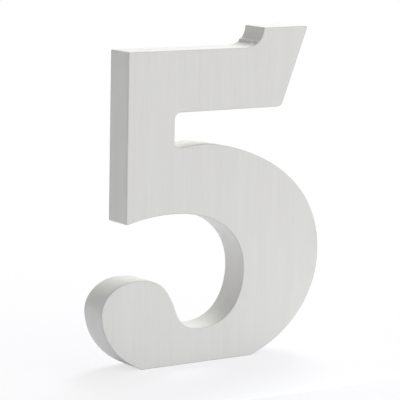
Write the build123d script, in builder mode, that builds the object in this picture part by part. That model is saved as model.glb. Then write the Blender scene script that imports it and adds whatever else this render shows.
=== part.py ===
"""Wooden house number: a free-standing numeral 5 sawn from one painted board."""

import os
from math import radians, tan

from build123d import *

# Whole numeral, in millimetres
numeral_height = 150.0
board_thickness = 15.0

# Arm and flag, the straight top of the numeral
arm_depth = 27.5
ear_rise = 8.7
ear_reach = 71.3
flag_reach = 95.7
heel_reach = 81.9

# Stem and the slot between arm and bowl
stem_width = 24.4
slot_depth = 14.7
shoulder_drop = 1.2
shoulder_share = 0.77

# Outside of the bowl, with reaches taken from the left edge of the stem
crown_reach = 40.0
bowl_reach = 104.8
bowl_middle_height = 45.1
base_reach = 37.0
base_drop = 4.6

# Hook, which ends in a rounded ball
hook_reach = 12.1
hook_middle_height = 26.7
ball_reach = 5.2
ball_height = 40.3

# Hollow side of the hook, where the ball turns into the floor of the counter
neck_reach = 26.8
neck_height = 24.1
neck_lean = 21.4

# Counter, the open inside of the bowl
bottom_stroke = 15.8
floor_reach = 41.0
side_stroke = 41.8
counter_middle_height = 40.3
top_stroke = 30.4
counter_top_reach = 22.6
stem_end_drop = 3.3
stem_end_slope = 0.33

# Softening of the corners by the saw and by sandpaper
inner_corner_radius = 3.0
outer_corner_radius = 0.6

# Fullness of each round stretch, as the shares of its two end tangents that it follows
shoulder_fullness = (0.55, 0.55)
bowl_top_fullness = (0.2, 0.8)
bowl_foot_fullness = (0.4, 0.75)
hook_foot_fullness = (0.8, 0.35)
ball_fullness = (0.55, 0.55)
neck_fullness = (0.8, 0.8)
hollow_fullness = (0.85, 0.6)
counter_foot_fullness = (0.7, 0.5)
counter_top_fullness = (0.55, 0.7)
stem_end_fullness = (0.5, 0.65)

# Heights that follow from the sizes above
arm_top = numeral_height - ear_rise
arm_underside = arm_top - arm_depth
crown_height = arm_underside - slot_depth
counter_top = crown_height - top_stroke

# Corners of the straight top, measured from the left edge of the stem and from the foot
stem_end = (0, counter_top - stem_end_drop)
stem_top = (0, arm_top)
notch_start = (ear_reach - ear_rise, arm_top)
notch_centre = (ear_reach - ear_rise, numeral_height)
ear = (ear_reach, numeral_height)
tip = (flag_reach, numeral_height)
heel = (heel_reach, arm_underside)
slot_top = (stem_width, arm_underside)
slot_bottom = (stem_width, crown_height - shoulder_drop)

# Points where the round strokes lie level, upright or turn from round to hollow
crown = (crown_reach, crown_height)
bowl_right = (bowl_reach, bowl_middle_height)
base = (base_reach, -base_drop)
hook_left = (-hook_reach, hook_middle_height)
ball_top = (ball_reach, ball_height)
neck = (neck_reach, neck_height)
counter_floor = (floor_reach, bottom_stroke)
counter_right = (bowl_reach - side_stroke, counter_middle_height)
counter_crown = (counter_top_reach, counter_top)

# Places where the two end tangents of each round stretch meet
neck_spread = tan(radians(neck_lean))
shoulder_turn = (stem_width + (crown_reach - stem_width) * shoulder_share, crown_height)
neck_turn = (neck_reach - (ball_height - neck_height) * neck_spread, ball_height)
hollow_turn = (neck_reach + (neck_height - bottom_stroke) * neck_spread, bottom_stroke)
stem_end_turn = (stem_end_drop / stem_end_slope, counter_top)
bowl_top_turn = (bowl_reach, crown_height)
bowl_foot_turn = (bowl_reach, -base_drop)
hook_foot_turn = (-hook_reach, -base_drop)
ball_turn = (-hook_reach, ball_height)
counter_foot_turn = (bowl_reach - side_stroke, bottom_stroke)
counter_top_turn = (bowl_reach - side_stroke, counter_top)

# The numeral's overall middle lies above the origin
numeral_middle = (bowl_reach - hook_reach) / 2
front_plane = Plane.XZ.shift_origin((-numeral_middle, 0, 0))


def round_stretch(start, end, turn, fullness):
    """Draw a round stretch whose end tangents meet at turn, each followed for its share."""
    leaving = Vector(start) + (Vector(turn) - Vector(start)) * fullness[0]
    arriving = Vector(end) + (Vector(turn) - Vector(end)) * fullness[1]
    return Bezier(start, leaving, arriving, end)


# Numeral, sawn round its outline and then level across the foot
with BuildPart() as numeral:
    with BuildSketch(front_plane) as outline:
        with BuildLine():
            Polyline(stem_end, stem_top, notch_start)
            CenterArc(notch_centre, ear_rise, -90, 90)
            Polyline(ear, tip, heel, slot_top, slot_bottom)
            round_stretch(slot_bottom, crown, shoulder_turn, shoulder_fullness)
            round_stretch(crown, bowl_right, bowl_top_turn, bowl_top_fullness)
            round_stretch(bowl_right, base, bowl_foot_turn, bowl_foot_fullness)
            round_stretch(base, hook_left, hook_foot_turn, hook_foot_fullness)
            round_stretch(hook_left, ball_top, ball_turn, ball_fullness)
            round_stretch(ball_top, neck, neck_turn, neck_fullness)
            round_stretch(neck, counter_floor, hollow_turn, hollow_fullness)
            round_stretch(counter_floor, counter_right, counter_foot_turn, counter_foot_fullness)
            round_stretch(counter_right, counter_crown, counter_top_turn, counter_top_fullness)
            round_stretch(counter_crown, stem_end, stem_end_turn, stem_end_fullness)
        make_face()
        split(bisect_by=Plane.XZ, keep=Keep.BOTTOM)
        for corner in (slot_top, slot_bottom, heel):
            fillet(outline.vertices().sort_by_distance(corner)[0], radius=inner_corner_radius)
        for corner in (ear, tip, stem_top, stem_end):
            fillet(outline.vertices().sort_by_distance(corner)[0], radius=outer_corner_radius)
        fillet(outline.vertices().group_by(Axis.Y)[0], radius=outer_corner_radius)
    extrude(amount=board_thickness / 2, both=True)

numeral.part.label = "numeral_five"

os.makedirs("parts", exist_ok=True)
export_step(numeral.part, "parts/numeral_five.step")
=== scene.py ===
"""Wooden house number: one painted numeral 5 standing on a white studio floor.

Everything is in metres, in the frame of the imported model: +Z up the numeral, -Y out of its
front face, +X to the right as the numeral is read.
"""

import logging
from dataclasses import dataclass
from enum import Enum
from math import ceil, radians

import bmesh
import bpy
from bmesh.types import BMEdge, BMesh, BMVert
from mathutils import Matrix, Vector, noise


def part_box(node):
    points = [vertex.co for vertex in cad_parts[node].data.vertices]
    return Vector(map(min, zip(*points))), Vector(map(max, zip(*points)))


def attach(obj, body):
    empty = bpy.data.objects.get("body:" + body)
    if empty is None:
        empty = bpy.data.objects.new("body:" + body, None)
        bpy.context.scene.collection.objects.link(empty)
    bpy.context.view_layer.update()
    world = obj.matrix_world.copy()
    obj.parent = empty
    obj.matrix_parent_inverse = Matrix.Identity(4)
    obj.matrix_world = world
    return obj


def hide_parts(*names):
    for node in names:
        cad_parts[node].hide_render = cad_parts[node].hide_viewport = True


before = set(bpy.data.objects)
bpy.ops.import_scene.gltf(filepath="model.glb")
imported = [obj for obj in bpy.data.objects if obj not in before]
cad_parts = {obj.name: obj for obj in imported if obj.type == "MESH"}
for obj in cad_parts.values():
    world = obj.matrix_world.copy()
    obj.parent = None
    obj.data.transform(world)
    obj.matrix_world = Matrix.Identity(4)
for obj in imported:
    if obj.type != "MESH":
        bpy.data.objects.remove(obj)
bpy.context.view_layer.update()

log = logging.getLogger("house_number")


class Surface(Enum):
    """The two kinds of surface that the board has, in the order of its material slots."""

    PLANED = 0
    SAWN = 1


# Shared steps


def add_object(name: str, data: bpy.types.ID) -> bpy.types.Object:
    """Make an object and put it in the scene.

    Args:
        name: the object's name.
        data: its mesh, lamp or camera.

    Returns:
        The new object.
    """
    made = bpy.data.objects.new(name, data)
    bpy.context.scene.collection.objects.link(made)
    return made


def empty_tree(owner: bpy.types.Material | bpy.types.World) -> bpy.types.NodeTree:
    """Turn on the nodes of a material or a world, and clear them.

    Args:
        owner: the material or world.

    Returns:
        Its empty node tree.
    """
    owner.use_nodes = True
    owner.node_tree.nodes.clear()
    return owner.node_tree


def add_node(
    tree: bpy.types.NodeTree,
    kind: str,
    values: dict[str | int, object] | None = None,
    **settings: object,
) -> bpy.types.Node:
    """Add one node to a tree.

    Args:
        tree: the node tree that gets the node.
        kind: the node's type, without its leading ShaderNode.
        values: input socket names or indices with a plain value each, or the socket to link.
        **settings: properties of the node itself.

    Returns:
        The new node.
    """
    node = tree.nodes.new(kind if kind.startswith("Node") else "ShaderNode" + kind)
    for name, value in settings.items():
        setattr(node, name, value)
    for name, value in (values or {}).items():
        if isinstance(value, bpy.types.NodeSocket):
            tree.links.new(value, node.inputs[name])
        else:
            node.inputs[name].default_value = value
    return node


def math_node(
    tree: bpy.types.NodeTree,
    operation: str,
    *values: float | bpy.types.NodeSocket,
    clamp: bool = False,
) -> bpy.types.NodeSocket:
    """Add a math node and return its result.

    Args:
        tree: the node tree that gets the node.
        operation: the operation's name, such as MULTIPLY.
        *values: numbers or sockets, one for each input that is used.
        clamp: whether the result is kept from 0 to 1.

    Returns:
        The socket with the result.
    """
    inputs = dict(enumerate(values))
    return add_node(tree, "Math", inputs, operation=operation, use_clamp=clamp).outputs[0]


# Finishes


def start_group(
    name: str, inputs: dict[str, float], outputs: tuple[str, ...]
) -> tuple[bpy.types.NodeTree, bpy.types.Node, bpy.types.Node]:
    """Start a shader node group that reads a Vector and some values.

    Args:
        name: the group's name.
        inputs: the names and defaults of its values.
        outputs: the names of the values that it puts out.

    Returns:
        The group's tree, its input node and its output node.
    """
    tree = bpy.data.node_groups.new(name, "ShaderNodeTree")
    tree.interface.new_socket("Vector", in_out="INPUT", socket_type="NodeSocketVector")
    for label, default in inputs.items():
        socket = tree.interface.new_socket(label, in_out="INPUT", socket_type="NodeSocketFloat")
        socket.default_value = default
    for label in outputs:
        tree.interface.new_socket(label, in_out="OUTPUT", socket_type="NodeSocketFloat")
    return tree, tree.nodes.new("NodeGroupInput"), tree.nodes.new("NodeGroupOutput")


def stretched_noise_group(name: str, along: Vector) -> bpy.types.NodeTree:
    """Build a group that puts out streaks, drawn out along one direction of the board.

    Args:
        name: the group's name.
        along: the direction of the streaks, one of the three axes.

    Returns:
        The group's tree. Its Streaks output runs from 0 to 1.
    """
    defaults = {"Pitch": 0.001, "Stretch": 12.0, "Detail": 3.0}
    tree, given, out = start_group(name, defaults, ("Streaks",))
    across = math_node(tree, "DIVIDE", 1.0, given.outputs["Pitch"])
    lengthwise = math_node(tree, "DIVIDE", across, given.outputs["Stretch"])
    scales = {axis: lengthwise if along[axis] else across for axis in range(3)}
    scale = add_node(tree, "CombineXYZ", scales).outputs[0]
    factors = {0: given.outputs["Vector"], 1: scale}
    place = add_node(tree, "VectorMath", factors, operation="MULTIPLY").outputs[0]
    values = {"Vector": place, "Scale": 1.0, "Detail": given.outputs["Detail"]}
    streaks = add_node(tree, "TexNoise", values)
    tree.links.new(streaks.outputs["Fac"], out.inputs["Streaks"])
    return tree


def paint_film_group() -> bpy.types.NodeTree:
    """Build the group for the soft ripple and the cloudy sheen that a coat of paint dries to.

    Returns:
        The group's tree, with the outputs Ripple and Cloud, each from 0 to 1.
    """
    defaults = {"Ripple Pitch": 0.002, "Cloud Pitch": 0.02}
    tree, given, out = start_group("paint_film", defaults, ("Ripple", "Cloud"))
    for output, detail in (("Ripple", 2.0), ("Cloud", 1.0)):
        scale = math_node(tree, "DIVIDE", 1.0, given.outputs[output + " Pitch"])
        values = {"Vector": given.outputs["Vector"], "Scale": scale, "Detail": detail}
        tree.links.new(add_node(tree, "TexNoise", values).outputs["Fac"], out.inputs[output])
    return tree


def rim_rub_and_shade_group() -> bpy.types.NodeTree:
    """Build the group for the board's rims, where the paint is thin and worn and shade is painted
    in.

    Returns:
        The group's tree. Its Rim output is broken up, strongest on the rim, and 0 inside the wall.
    """
    defaults = {"Half Depth": 0.0075, "Width": 0.001, "Break Pitch": 0.003}
    tree, given, out = start_group("rim_rub_and_shade", defaults, ("Rim",))
    depth = add_node(tree, "SeparateXYZ", {0: given.outputs["Vector"]}).outputs["Y"]
    from_middle = math_node(tree, "ABSOLUTE", depth)
    inset = math_node(tree, "SUBTRACT", given.outputs["Half Depth"], from_middle)
    inset_share = math_node(tree, "DIVIDE", inset, given.outputs["Width"])
    nearness = math_node(tree, "SUBTRACT", 1.0, inset_share, clamp=True)
    scale = math_node(tree, "DIVIDE", 1.0, given.outputs["Break Pitch"])
    values = {"Vector": given.outputs["Vector"], "Scale": scale, "Detail": 3.0}
    broken = add_node(tree, "TexNoise", values).outputs["Fac"]
    tree.links.new(math_node(tree, "MULTIPLY", nearness, broken), out.inputs["Rim"])
    return tree


@dataclass(frozen=True)
class PaintFinish:
    """White satin paint over one kind of wood surface, with the wood's fibre showing faintly.

    Attributes:
        name: the material's name.
        paint: the colour of the full coat.
        thin_coat_and_shade_color: the thin coat over fibres, and the rims' worn paint and painted
            shade.
        roughness: the roughness of the film, lowest and highest.
        specular: the strength of the film's reflection.
        ior: the film's index of refraction.
        fibre_pitch: the width of one streak of fibre.
        fibre_stretch: how many times longer than wide a streak of fibre is.
        fibre_shade: how far the fibres turn the colour towards the thin coat.
        fibre_height: how far the fibres stand out.
        band_width: how many streaks of fibre a wide band takes in.
        band_stretch: how many times longer than wide a band is.
        saw_pitch: the width of one saw mark.
        saw_stretch: how many times longer than wide a saw mark is.
        saw_height: how far the saw marks stand out.
        ripple_height: how far the brushed film ripples.
        rim_rub_and_shade_strength: how far the rims turn the colour that way, as worn paint and
            painted shade.
    """

    name: str
    paint: tuple[float, float, float] = (0.795, 0.793, 0.763)
    thin_coat_and_shade_color: tuple[float, float, float] = (0.66, 0.65, 0.61)
    roughness: tuple[float, float] = (0.42, 0.56)
    specular: float = 0.35
    ior: float = 1.48
    fibre_pitch: float = 0.0011
    fibre_stretch: float = 26.0
    fibre_shade: float = 0.8
    fibre_height: float = 0.00002
    band_width: float = 5.5
    band_stretch: float = 14.0
    saw_pitch: float = 0.0012
    saw_stretch: float = 12.0
    saw_height: float = 0.0
    ripple_height: float = 0.000006
    rim_rub_and_shade_strength: float = 0.0

    def material(
        self, groups: dict[str, bpy.types.NodeTree], half_depth: float
    ) -> bpy.types.Material:
        """Build the material of this finish.

        Args:
            groups: the shared node groups, by name.
            half_depth: half the board's thickness.

        Returns:
            The new material.
        """
        material = bpy.data.materials.new(self.name)
        tree = empty_tree(material)
        place = add_node(tree, "TexCoord").outputs["Object"]

        band_pitch = self.fibre_pitch * self.band_width
        fibres, saw_marks = groups["wood_fibre"], groups["saw_marks"]
        fibre = self._streaks(tree, fibres, place, self.fibre_pitch, self.fibre_stretch)
        bands = self._streaks(tree, fibres, place, band_pitch, self.band_stretch)
        saw = self._streaks(tree, saw_marks, place, self.saw_pitch, self.saw_stretch)
        film = add_node(tree, "Group", {"Vector": place}, node_tree=groups["paint_film"])
        rim_values = {"Vector": place, "Half Depth": half_depth}
        rim = add_node(tree, "Group", rim_values, node_tree=groups["rim_rub_and_shade"])

        grain = math_node(tree, "MULTIPLY", math_node(tree, "ADD", fibre, bands), 0.5)
        shade = math_node(tree, "MULTIPLY", grain, self.fibre_shade)
        # Rims darken towards the thin coat: worn paint, with painted shade along them.
        rim_darkening = math_node(tree, "MULTIPLY", rim.outputs["Rim"], self.rim_rub_and_shade_strength)
        coat_and_rim_darkening = math_node(tree, "ADD", shade, rim_darkening, clamp=True)
        # Inputs 6 and 7 are the two colours that the node mixes
        coats = {"Factor": coat_and_rim_darkening, 6: (*self.paint, 1.0), 7: (*self.thin_coat_and_shade_color, 1.0)}
        color = add_node(tree, "Mix", coats, data_type="RGBA")
        low, high = self.roughness
        rougher = math_node(tree, "MULTIPLY", film.outputs["Cloud"], high - low)
        sheen = math_node(tree, "ADD", rougher, low)

        height = math_node(tree, "MULTIPLY", grain, self.fibre_height)
        ripple = film.outputs["Ripple"]
        for part, size in ((saw, self.saw_height), (ripple, self.ripple_height)):
            height = math_node(tree, "ADD", height, math_node(tree, "MULTIPLY", part, size))
        bump = add_node(tree, "Bump", {"Strength": 1.0, "Distance": 1.0, "Height": height})

        shader = add_node(
            tree,
            "BsdfPrincipled",
            {
                "Base Color": color.outputs[2],
                "Roughness": sheen,
                "Normal": bump.outputs["Normal"],
                "Specular IOR Level": self.specular,
                "IOR": self.ior,
            },
        )
        add_node(tree, "OutputMaterial", {"Surface": shader.outputs["BSDF"]})
        return material

    def _streaks(
        self,
        tree: bpy.types.NodeTree,
        group: bpy.types.NodeTree,
        place: bpy.types.NodeSocket,
        pitch: float,
        stretch: float,
    ) -> bpy.types.NodeSocket:
        """Place a group of streaks and return its mask.

        Args:
            tree: the material's node tree.
            group: the group that makes the streaks.
            place: the coordinates that it reads.
            pitch: the width of one streak.
            stretch: how many times longer than wide a streak is.

        Returns:
            The socket with the streaks, from 0 to 1.
        """
        values = {"Vector": place, "Pitch": pitch, "Stretch": stretch}
        return add_node(tree, "Group", values, node_tree=group).outputs["Streaks"]


# The numeral


@dataclass
class Numeral:
    """The numeral, sawn from one board, eased along its rims and painted.

    Attributes:
        node: the solid that the piece stands for.
        name: the name of the piece.
        slot: the record's material slot for its finish; not used.
        weld: distance at which the solid's loose corners are joined.
        facing: how squarely a broad face looks along Y.
        straight: how many times longer than its neighbour an edge is, to count as straight.
        spacing: longest step along the outline.
        fine_spacing: longest step near the foot of the notch.
        rows: number of steps through the board.
        rim: radius of the eased rims.
        rim_steps: number of facets across a rim.
        notch_foot: where the sawn arc of the notch ends above the arm, in X and Z.
        notch_reach: distance from the foot of the notch within which steps are fine.
        notch_fade: distance from each broad face over which the step and the paint fade out.
        ledge_slope: slope of the arm's top below the foot of the notch.
        ledge_drop: height of the small step that the saw left at the foot.
        ledge_grit: unevenness of the ledge below the step.
        grit_scale: fineness of the grit on the ledge and in the paint, for each metre.
        lip_width: width of the paint that has gathered above the step.
        lip_height: how far that paint stands out where its shares come to 1.
        lip_turn: the direction in which it stands out.
        lip_scale: fineness of its ragged edge, for each metre.
        lip_start: the place along X at which the noise of its ragged edge is read.
        lip_shares: its even part, its ragged part and its grit, as shares of its height.
        planed: the finish of the two broad faces.
        sawn: the finish of the sawn walls and the rims.
    """

    node: str = "numeral_five"
    name: str = "painted_numeral_five"
    slot: str = "painted_wood"
    weld: float = 1e-6
    facing: float = 0.999
    straight: float = 3.0
    spacing: float = 0.0012
    fine_spacing: float = 0.0002
    rows: int = 30
    rim: float = 0.0004
    rim_steps: int = 4
    notch_foot: tuple[float, float] = (0.02145, 0.1430)
    notch_reach: float = 0.004
    notch_fade: float = 0.0008
    ledge_slope: float = 0.15
    ledge_drop: float = 0.00030
    ledge_grit: float = 0.00005
    grit_scale: float = 1400.0
    lip_width: float = 0.0011
    lip_height: float = 0.0011
    lip_turn: tuple[float, float, float] = (-0.80, 0.0, 0.6)
    lip_scale: float = 520.0
    lip_start: float = 3.0
    lip_shares: tuple[float, float, float] = (0.4, 1.8, 0.9)
    planed: PaintFinish = PaintFinish("paint_on_planed_wood")
    # The sawn finish darkens its rims: worn paint, with painted shade along them.
    sawn: PaintFinish = PaintFinish(
        "paint_on_sawn_wood", saw_height=0.00004, ripple_height=0.00001, rim_rub_and_shade_strength=2.6
    )

    def build(self) -> bpy.types.Object:
        """Build the piece, give it its place in the frame and its finish.

        Returns:
            The finished piece.
        """
        low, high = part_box(self.node)
        front, back = low[1], high[1]
        half_depth = (back - front) / 2
        mesh = self._outline()
        ring = self._refine(mesh)
        self._saw_through(mesh, ring, front, back)
        self._work_notch(mesh, half_depth)
        self._ease_rims(mesh, front, back)
        piece = self._finish_mesh(mesh)
        self._dress(piece, half_depth)
        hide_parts(self.node)
        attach(piece, "root")
        return piece

    def _outline(self) -> BMesh:
        """Strip a copy of the solid down to the bare outline of its front face.

        Returns:
            A mesh with the outline's points and edges alone.
        """
        mesh = bmesh.new()
        mesh.from_mesh(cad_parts[self.node].data)
        bmesh.ops.remove_doubles(mesh, verts=mesh.verts, dist=self.weld)
        mesh.normal_update()
        not_front = [face for face in mesh.faces if face.normal.y > -self.facing]
        bmesh.ops.delete(mesh, geom=not_front, context="FACES")
        bmesh.ops.dissolve_faces(mesh, faces=mesh.faces)
        bmesh.ops.delete(mesh, geom=list(mesh.faces), context="FACES_ONLY")
        return mesh

    def _refine(self, mesh: BMesh) -> list[BMEdge]:
        """Split the outline's long edges, so that it runs smoothly between the solid's corners.

        Args:
            mesh: the mesh with the bare outline.

        Returns:
            The outline's edges.
        """
        ring = self._in_order(mesh)
        count = len(ring)
        points = [vert.co.copy() for vert in ring]
        tangents = [
            self._tangent(points[index - 1], points[index], points[(index + 1) % count])
            for index in range(count)
        ]
        for index, start in enumerate(ring):
            ahead = (index + 1) % count
            self._split(start, ring[ahead], tangents[index], tangents[ahead])
        return list(mesh.edges)

    def _in_order(self, mesh: BMesh) -> list[BMVert]:
        """Put the outline's points in the order in which they follow each other.

        Args:
            mesh: the mesh with the bare outline.

        Returns:
            All the points, once round.
        """
        mesh.verts.ensure_lookup_table()
        ring = [mesh.verts[0]]
        edge = ring[0].link_edges[0]
        while len(ring) < len(mesh.verts):
            ring.append(edge.other_vert(ring[-1]))
            edge = next(link for link in ring[-1].link_edges if link != edge)
        return ring

    def _tangent(self, before: Vector, here: Vector, after: Vector) -> Vector:
        """Find the outline's direction at one of its points.

        Args:
            before: the point before it.
            here: the point itself.
            after: the point after it.

        Returns:
            The direction, of length 1. Beside a long straight edge it is that edge's own.
        """
        back, ahead = here - before, after - here
        if back.length > self.straight * ahead.length:
            return back.normalized()
        if ahead.length > self.straight * back.length:
            return ahead.normalized()
        weighted = back.normalized() * ahead.length + ahead.normalized() * back.length
        return weighted.normalized()

    def _split(self, start: BMVert, end: BMVert, leaving: Vector, arriving: Vector) -> None:
        """Split one edge of the outline evenly and lay the new points on a smooth curve.

        Args:
            start: the edge's first point.
            end: the edge's last point.
            leaving: the outline's direction at the first point.
            arriving: the outline's direction at the last point.
        """
        first, last = start.co.copy(), end.co.copy()
        chord = (last - first).length
        foot = Vector((self.notch_foot[0], first.y, self.notch_foot[1]))
        near = (0.5 * (first + last) - foot).length < self.notch_reach + chord / 2
        steps = ceil(chord / (self.fine_spacing if near else self.spacing))
        vert = start
        edge = next(link for link in start.link_edges if end in link.verts)
        for step in range(1, steps):
            new_edge, new_vert = bmesh.utils.edge_split(edge, vert, 0.5)
            edge = new_edge if end in new_edge.verts else edge
            share = step / steps
            new_vert.co = (
                first * (2 * share**3 - 3 * share**2 + 1)
                + leaving * chord * (share**3 - 2 * share**2 + share)
                + last * (3 * share**2 - 2 * share**3)
                + arriving * chord * (share**3 - share**2)
            )
            vert = new_vert

    def _saw_through(self, mesh: BMesh, ring: list[BMEdge], front: float, back: float) -> None:
        """Extrude the outline row by row through the board and close both broad faces.

        Args:
            mesh: the mesh with the outline.
            ring: the outline's edges.
            front: the place of the front face along Y.
            back: the place of the back face along Y.
        """
        for vert in mesh.verts:
            vert.co.y = front
        first_ring = ring
        for _ in range(self.rows):
            grown = bmesh.ops.extrude_edge_only(mesh, edges=ring)["geom"]
            ring = [part for part in grown if isinstance(part, BMEdge)]
            verts = [part for part in grown if isinstance(part, BMVert)]
            bmesh.ops.translate(mesh, vec=(0, (back - front) / self.rows, 0), verts=verts)
        bmesh.ops.contextual_create(mesh, geom=first_ring)
        bmesh.ops.contextual_create(mesh, geom=ring)
        bmesh.ops.recalc_face_normals(mesh, faces=mesh.faces)

    def _work_notch(self, mesh: BMesh, half_depth: float) -> None:
        """Leave the saw's small step and the ragged paint above it at the foot of the notch.

        Args:
            mesh: the closed mesh of the numeral.
            half_depth: half the board's thickness.
        """
        foot_x, foot_z = self.notch_foot
        ledge = foot_z - self.ledge_drop
        even, swing, gritty = self.lip_shares
        for vert in mesh.verts:
            beyond = vert.co.x - foot_x
            above = vert.co.z - ledge
            if abs(beyond) > self.notch_reach or abs(above) >= self.notch_reach:
                continue
            grit = noise.noise(vert.co * self.grit_scale)
            share = min(1.0, (half_depth - abs(vert.co.y)) / self.notch_fade)
            if beyond < 0:
                ledge_height = ledge + beyond * self.ledge_slope
                if vert.co.z > ledge_height:
                    vert.co.z += (ledge_height + self.ledge_grit * grit - vert.co.z) * share
            elif beyond < self.lip_width:
                swell = 1 - abs(2 * beyond / self.lip_width - 1)
                edge = noise.noise(Vector((self.lip_start, vert.co.y * self.lip_scale, 0.0)))
                ragged = max(0.0, even + swing * edge + gritty * grit)
                vert.co += Vector(self.lip_turn) * self.lip_height * swell * ragged * share

    def _ease_rims(self, mesh: BMesh, front: float, back: float) -> None:
        """Round the edges where the broad faces meet the walls, and sort planed from sawn faces.

        Args:
            mesh: the closed mesh of the numeral.
            front: the place of the front face along Y.
            back: the place of the back face along Y.
        """
        broad = [face for face in mesh.faces if abs(face.normal.y) > self.facing]
        rims = {edge for face in broad for edge in face.edges}
        bmesh.ops.bevel(
            mesh,
            geom=list(rims),
            offset=self.rim,
            offset_type="OFFSET",
            affect="EDGES",
            segments=self.rim_steps,
            profile=0.5,
            material=-1,
            clamp_overlap=False,
        )
        for face in mesh.faces:
            planed = abs(face.normal.y) > self.facing
            face.smooth = not planed
            face.material_index = (Surface.PLANED if planed else Surface.SAWN).value
            if planed:
                for vert in face.verts:
                    vert.co.y = front if face.normal.y < 0 else back

    def _finish_mesh(self, mesh: BMesh) -> bpy.types.Object:
        """Turn the worked mesh into an object at the origin.

        Args:
            mesh: the mesh of the numeral, which is freed.

        Returns:
            The object.
        """
        data = bpy.data.meshes.new(self.name)
        mesh.to_mesh(data)
        mesh.free()
        return add_object(self.name, data)

    def _dress(self, piece: bpy.types.Object, half_depth: float) -> None:
        """Give the piece its two finishes.

        Args:
            piece: the numeral's object.
            half_depth: half the board's thickness.
        """
        groups = {
            "wood_fibre": stretched_noise_group("wood_fibre", Vector((0, 0, 1))),
            "saw_marks": stretched_noise_group("saw_marks", Vector((0, 1, 0))),
            "paint_film": paint_film_group(),
            "rim_rub_and_shade": rim_rub_and_shade_group(),
        }
        finishes = {Surface.PLANED: self.planed, Surface.SAWN: self.sawn}
        for surface in Surface:
            piece.data.materials.append(finishes[surface].material(groups, half_depth))


# The studio


@dataclass(frozen=True)
class SoftLamp:
    """A rectangular studio lamp.

    Attributes:
        name: the lamp's name.
        place: where it hangs.
        size: its width and height.
        power: its power in watts.
        aim: the point that it faces.
        color: the colour of its light.
    """

    name: str
    place: tuple[float, float, float]
    size: tuple[float, float]
    power: float
    aim: tuple[float, float, float] = (0.0, 0.0, 0.07)
    color: tuple[float, float, float] = (1.0, 1.0, 1.0)

    def hang(self) -> None:
        """Hang the lamp in the scene, turned towards its aim."""
        light = bpy.data.lights.new(self.name, "AREA")
        light.shape = "RECTANGLE"
        light.size, light.size_y = self.size
        light.energy = self.power
        light.color = self.color
        lamp = add_object(self.name, light)
        lamp.visible_camera = False
        lamp.location = self.place
        towards = Vector(self.aim) - Vector(self.place)
        lamp.rotation_euler = towards.to_track_quat("-Z", "Y").to_euler()


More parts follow.
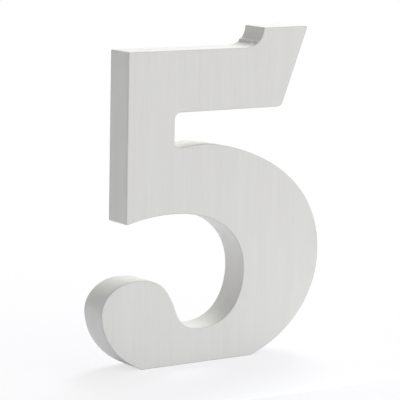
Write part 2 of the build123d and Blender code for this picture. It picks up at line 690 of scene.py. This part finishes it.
@dataclass
class Studio:
    """A white floor under soft lamps, with the camera at the photograph's angle.

    Attributes:
        floor_size: the length of the floor's sides.
        floor_color: the colour of the floor.
        shadow_reach: distance from the numeral within which the floor shows its shadow.
        shadow_share: share of the floor's own shading that the camera sees under the numeral.
        ambient: strength of the light from all round.
        dark_side: the direction in which the surroundings are darkest.
        darkening: share of the ambient light that is missing there.
        lamps: the lamps.
        eye: where the camera stands.
        tilt: the camera's turns about X, Y and Z, in degrees.
        focal_length: the camera's focal length in millimetres.
        sensor_width: the width of its sensor in millimetres.
        nearest: the distance from which on it sees things.
    """

    floor_size: float = 12.0
    floor_color: tuple[float, float, float, float] = (0.90, 0.90, 0.955, 1.0)
    shadow_reach: float = 0.35
    shadow_share: float = 0.35
    ambient: float = 1.25
    dark_side: tuple[float, float, float] = (-0.6, 0.2, 0.77)
    darkening: float = 0.89
    lamps: tuple[SoftLamp, ...] = (
        SoftLamp("key_right", (0.46, 0.46, 0.80), (0.35, 0.35), 4.0),
        SoftLamp("overhead_behind", (0.30, 0.30, 0.95), (0.5, 0.5), 0.8),
        SoftLamp(
            "front_right_fill", (0.24, -0.24, 0.32), (0.2, 0.2), 0.075, aim=(0.05, 0.0, 0.14)
        ),
        SoftLamp(
            "low_front_card",
            (-0.01, -0.075, 0.006),
            (0.14, 0.01),
            0.0035,
            aim=(-0.01, 0.0, 0.006),
            color=(0.7, 0.8, 1.0),
        ),
    )
    eye: tuple[float, float, float] = (-0.54006, -0.79443, 0.22789)
    tilt: tuple[float, float, float] = (80.803, -1.127, -33.882)
    focal_length: float = 194.677
    sensor_width: float = 36.0
    nearest: float = 0.01

    def build(self) -> None:
        """Lay the floor, hang the lamps, set the world and place the camera."""
        self._lay_floor()
        self._set_world()
        for lamp in self.lamps:
            lamp.hang()
        self._place_camera()
        bpy.context.scene.view_settings.view_transform = "Standard"

    def _lay_floor(self) -> None:
        """Lay the floor that the numeral stands on."""
        mesh = bmesh.new()
        bmesh.ops.create_grid(mesh, x_segments=1, y_segments=1, size=self.floor_size / 2)
        data = bpy.data.meshes.new("studio_floor")
        mesh.to_mesh(data)
        mesh.free()
        data.materials.append(self._floor_material())
        floor = add_object("studio_floor", data)

    def _floor_material(self) -> bpy.types.Material:
        """Build the floor's finish, which the camera sees as white with a faint shadow.

        Returns:
            The new material.
        """
        material = bpy.data.materials.new("studio_floor")
        tree = empty_tree(material)
        place = add_node(tree, "TexCoord").outputs["Object"]
        distance = add_node(tree, "VectorMath", {0: place}, operation="LENGTH").outputs["Value"]
        faded = math_node(tree, "DIVIDE", distance, self.shadow_reach, clamp=True)
        nearness = math_node(tree, "SUBTRACT", 1.0, faded)
        shaded = math_node(tree, "MULTIPLY", nearness, self.shadow_share)
        seen = add_node(tree, "LightPath").outputs["Is Camera Ray"]
        whiteness = math_node(tree, "MULTIPLY", math_node(tree, "SUBTRACT", 1.0, shaded), seen)
        diffuse = add_node(tree, "BsdfDiffuse", {"Color": self.floor_color}).outputs["BSDF"]
        white = add_node(tree, "Emission", {"Strength": 1.0}).outputs["Emission"]
        shaders = {"Fac": whiteness, 1: diffuse, 2: white}
        both = add_node(tree, "MixShader", shaders).outputs["Shader"]
        add_node(tree, "OutputMaterial", {"Surface": both})
        return material

    def _set_world(self) -> None:
        """Light the scene softly from all round, and show the camera a white world."""
        world = bpy.data.worlds.new("studio")
        tree = empty_tree(world)
        seen = add_node(tree, "LightPath").outputs["Is Camera Ray"]
        direction = add_node(tree, "TexCoord").outputs["Generated"]
        directions = {0: direction, 1: self.dark_side}
        towards = add_node(tree, "VectorMath", directions, operation="DOT_PRODUCT")
        missing = math_node(tree, "MULTIPLY", towards.outputs["Value"], self.darkening, clamp=True)
        soft = math_node(tree, "MULTIPLY", math_node(tree, "SUBTRACT", 1.0, missing), self.ambient)
        strength = math_node(tree, "MAXIMUM", seen, soft)
        white_light = {"Color": (1.0, 1.0, 1.0, 1.0), "Strength": strength}
        background = add_node(tree, "Background", white_light)
        add_node(tree, "OutputWorld", {"Surface": background.outputs[0]})
        bpy.context.scene.world = world

    def _place_camera(self) -> None:
        """Place the camera at the photograph's viewing angle."""
        data = bpy.data.cameras.new("camera")
        data.lens = self.focal_length
        data.sensor_width = self.sensor_width
        data.clip_start = self.nearest
        camera = add_object("camera", data)
        camera.location = self.eye
        camera.rotation_euler = [radians(turn) for turn in self.tilt]
        bpy.context.scene.camera = camera


def main() -> None:
    logging.basicConfig(level=logging.INFO, format="%(name)s: %(message)s")
    piece = Numeral().build()
    log.info("%s has %d faces", piece.name, len(piece.data.polygons))
    studio = Studio()
    studio.build()
    log.info("studio has %d lamps", len(studio.lamps))


if __name__ == "__main__":
    main()
